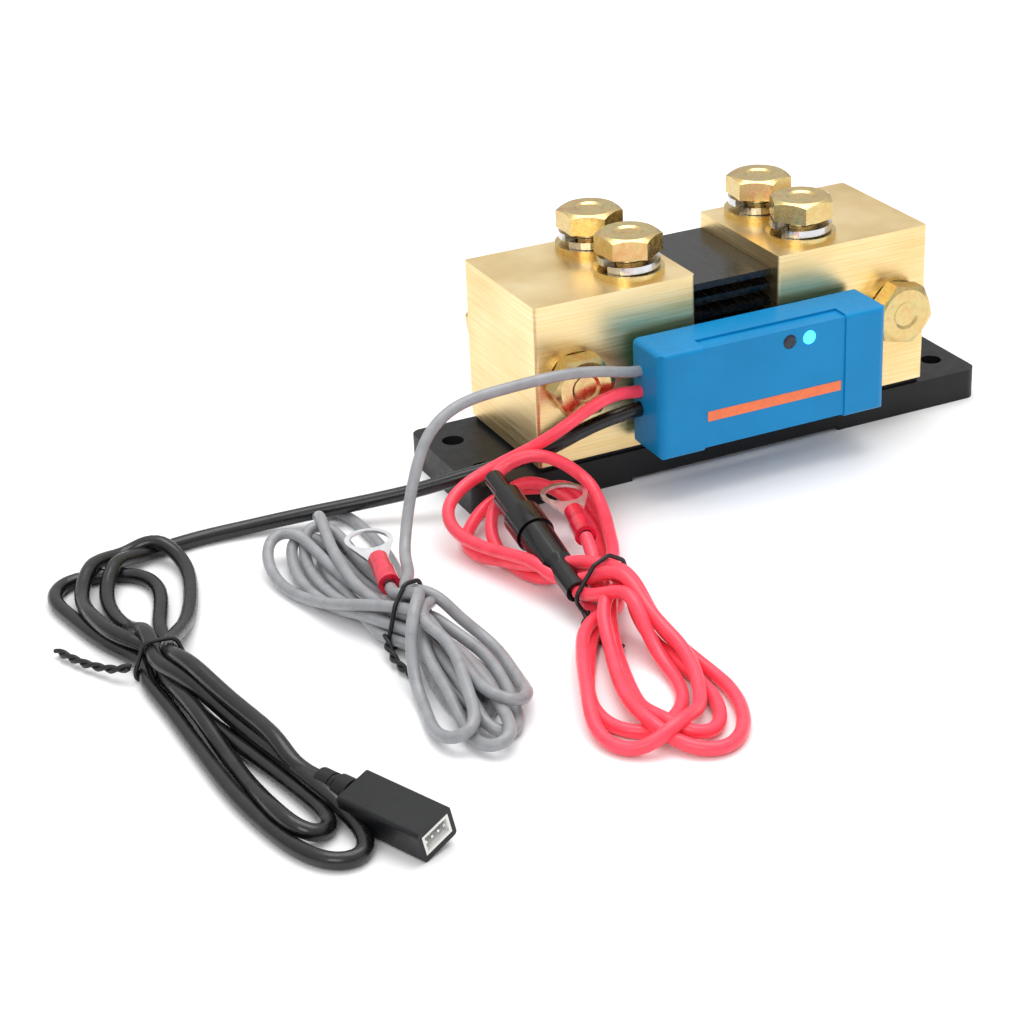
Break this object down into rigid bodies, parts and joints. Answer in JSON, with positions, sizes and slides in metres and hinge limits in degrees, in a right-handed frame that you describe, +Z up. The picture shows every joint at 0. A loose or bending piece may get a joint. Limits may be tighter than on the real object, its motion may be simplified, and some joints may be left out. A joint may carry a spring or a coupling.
{
  "type": "battery monitor shunt",
  "caption": "High-current shunt: brass blocks joined by resistor strips on a black base, with a blue monitor case, cable leads, an inline fuse holder and a data plug.",
  "frame": {"origin": "centre of the base's four mounting holes, level with the underside of its feet", "axes": "+X along the base from the load block to the battery block, -Y towards the monitor case, +Z up"},
  "size_m": [0.29, 0.2031, 0.0718],
  "materials": {
    "base_plastic": "finely textured black moulded plastic",
    "brass": "drawn brass bar with fine lengthwise streaks",
    "strip_black": "glossy black lacquer over metal strips",
    "yellow_zinc": "yellow zinc plating with a faint iridescence",
    "steel": "bright plated steel",
    "tinned_copper": "bright tin plating",
    "case_blue": "smooth satin blue moulded plastic",
    "stripe_orange": "printed orange stripe",
    "board_green": "circuit board laminate",
    "chip_black": "moulded component packages",
    "light_dark": "unlit smoked light pipe",
    "light_blue": "lit blue light pipe",
    "grey_jacket": "soft matt cable jacket",
    "red_jacket": "soft satin cable jacket",
    "black_jacket": "soft satin cable jacket",
    "sleeve_red": "translucent red insulating sleeve",
    "tie_black": "plastic coated wire",
    "holder_black": "glossy black moulded plastic",
    "fuse_glass": "glass cartridge with plated ends",
    "plug_black": "fine matt overmoulding",
    "insert_white": "natural white nylon"
  },
  "bodies": {
    "shunt": {"base": "base_plastic", "block_left": "brass", "block_right": "brass", "resistor_strips": "strip_black", "base_screws": "steel", "case_shell": "case_blue", "case_back": "case_blue", "circuit_board": "board_green", "board_parts": "chip_black", "sense_posts": "brass", "sense_screws": "steel", "case_screws": "steel", "error_light": "light_dark", "link_light": "light_blue", "label_stripe": "stripe_orange", "grey_lead": "grey_jacket", "grey_hank": "grey_jacket", "grey_tie": "tie_black", "grey_ring": "tinned_copper", "grey_sleeve": "sleeve_red", "red_lead": "red_jacket", "red_hank": "red_jacket", "red_tie": "tie_black", "red_tails": "red_jacket", "red_ring": "tinned_copper", "red_sleeve": "sleeve_red", "fuse_body": "holder_black", "fuse": "fuse_glass", "fuse_contact_lower": "tinned_copper", "black_lead": "black_jacket", "black_hank": "black_jacket", "black_tie": "tie_black", "plug_body": "plug_black", "plug_relief": "plug_black", "plug_insert": "insert_white", "plug_contacts": "tinned_copper"},
    "fuse_top": {"fuse_cap": "holder_black", "fuse_spring": "steel", "fuse_contact_upper": "tinned_copper"},
    "top_washers_1": {"flat_washer_1": "yellow_zinc", "spring_washer_1": "steel"},
    "top_bolt_1_body": {"top_bolt_1": "yellow_zinc"},
    "top_washers_2": {"flat_washer_2": "yellow_zinc", "spring_washer_2": "steel"},
    "top_bolt_2_body": {"top_bolt_2": "yellow_zinc"},
    "top_washers_3": {"flat_washer_3": "yellow_zinc", "spring_washer_3": "steel"},
    "top_bolt_3_body": {"top_bolt_3": "yellow_zinc"},
    "top_washers_4": {"flat_washer_4": "yellow_zinc", "spring_washer_4": "steel"},
    "top_bolt_4_body": {"top_bolt_4": "yellow_zinc"},
    "side_washer_1_body": {"side_washer_1": "yellow_zinc"},
    "side_bolt_1_body": {"side_bolt_1": "yellow_zinc"},
    "side_washer_2_body": {"side_washer_2": "yellow_zinc"},
    "side_bolt_2_body": {"side_bolt_2": "yellow_zinc"},
    "side_washer_3_body": {"side_washer_3": "yellow_zinc"},
    "side_bolt_3_body": {"side_bolt_3": "yellow_zinc"},
    "side_washer_4_body": {"side_washer_4": "yellow_zinc"},
    "side_bolt_4_body": {"side_bolt_4": "yellow_zinc"}
  },
  "joints": [
    {"name": "fuse_cap_turn", "type": "hinge", "parent": "shunt", "child": "fuse_top", "pos_m": [-0.086, -0.088, 0.0075], "axis": [0.0648, 0.9891, 0.1323], "range_deg": [0, 60]},
    {"name": "top_bolt_1_lift", "type": "slide", "parent": "shunt", "child": "top_washers_1", "axis": [0, 0, 1], "range_m": [0, 0.006]},
    {"name": "top_bolt_1_turn", "type": "hinge", "parent": "top_washers_1", "child": "top_bolt_1_body", "pos_m": [-0.0285, -0.0108, 0.0595], "axis": [0, 0, 1], "range_deg": [0, 1440]},
    {"name": "top_bolt_2_lift", "type": "slide", "parent": "shunt", "child": "top_washers_2", "axis": [0, 0, 1], "range_m": [0, 0.006]},
    {"name": "top_bolt_2_turn", "type": "hinge", "parent": "top_washers_2", "child": "top_bolt_2_body", "pos_m": [-0.0285, 0.0132, 0.0595], "axis": [0, 0, 1], "range_deg": [0, 1440]},
    {"name": "top_bolt_3_lift", "type": "slide", "parent": "shunt", "child": "top_washers_3", "axis": [0, 0, 1], "range_m": [0, 0.006]},
    {"name": "top_bolt_3_turn", "type": "hinge", "parent": "top_washers_3", "child": "top_bolt_3_body", "pos_m": [0.0285, -0.0108, 0.0595], "axis": [0, 0, 1], "range_deg": [0, 1440]},
    {"name": "top_bolt_4_lift", "type": "slide", "parent": "shunt", "child": "top_washers_4", "axis": [0, 0, 1], "range_m": [0, 0.006]},
    {"name": "top_bolt_4_turn", "type": "hinge", "parent": "top_washers_4", "child": "top_bolt_4_body", "pos_m": [0.0285, 0.0132, 0.0595], "axis": [0, 0, 1], "range_deg": [0, 1440]},
    {"name": "side_bolt_1_out", "type": "slide", "parent": "shunt", "child": "side_washer_1_body", "axis": [0, -1, 0], "range_m": [0, 0.00075]},
    {"name": "side_bolt_1_turn", "type": "hinge", "parent": "side_washer_1_body", "child": "side_bolt_1_body", "pos_m": [-0.053, -0.0228, 0.036], "axis": [0, -1, 0], "range_deg": [0, 180]},
    {"name": "side_bolt_2_out", "type": "slide", "parent": "shunt", "child": "side_washer_2_body", "axis": [0, 1, 0], "range_m": [0, 0.006]},
    {"name": "side_bolt_2_turn", "type": "hinge", "parent": "side_washer_2_body", "child": "side_bolt_2_body", "pos_m": [-0.053, 0.0228, 0.036], "axis": [0, 1, 0], "range_deg": [0, 1440]},
    {"name": "side_bolt_3_out", "type": "slide", "parent": "shunt", "child": "side_washer_3_body", "axis": [0, -1, 0], "range_m": [0, 0.006]},
    {"name": "side_bolt_3_turn", "type": "hinge", "parent": "side_washer_3_body", "child": "side_bolt_3_body", "pos_m": [0.053, -0.0228, 0.036], "axis": [0, -1, 0], "range_deg": [0, 1440]},
    {"name": "side_bolt_4_out", "type": "slide", "parent": "shunt", "child": "side_washer_4_body", "axis": [0, 1, 0], "range_m": [0, 0.006]},
    {"name": "side_bolt_4_turn", "type": "hinge", "parent": "side_washer_4_body", "child": "side_bolt_4_body", "pos_m": [0.053, 0.0228, 0.036], "axis": [0, 1, 0], "range_deg": [0, 1440]}
  ],
  "couplings": [
    {"joint": "top_bolt_1_turn", "follows": "top_bolt_1_lift", "rad_per_m": 4188.7},
    {"joint": "top_bolt_2_turn", "follows": "top_bolt_2_lift", "rad_per_m": 4188.7},
    {"joint": "top_bolt_3_turn", "follows": "top_bolt_3_lift", "rad_per_m": 4188.7},
    {"joint": "top_bolt_4_turn", "follows": "top_bolt_4_lift", "rad_per_m": 4188.7},
    {"joint": "side_bolt_1_turn", "follows": "side_bolt_1_out", "rad_per_m": 4188.7},
    {"joint": "side_bolt_2_turn", "follows": "side_bolt_2_out", "rad_per_m": 4188.7},
    {"joint": "side_bolt_3_turn", "follows": "side_bolt_3_out", "rad_per_m": 4188.7},
    {"joint": "side_bolt_4_turn", "follows": "side_bolt_4_out", "rad_per_m": 4188.7}
  ]
}
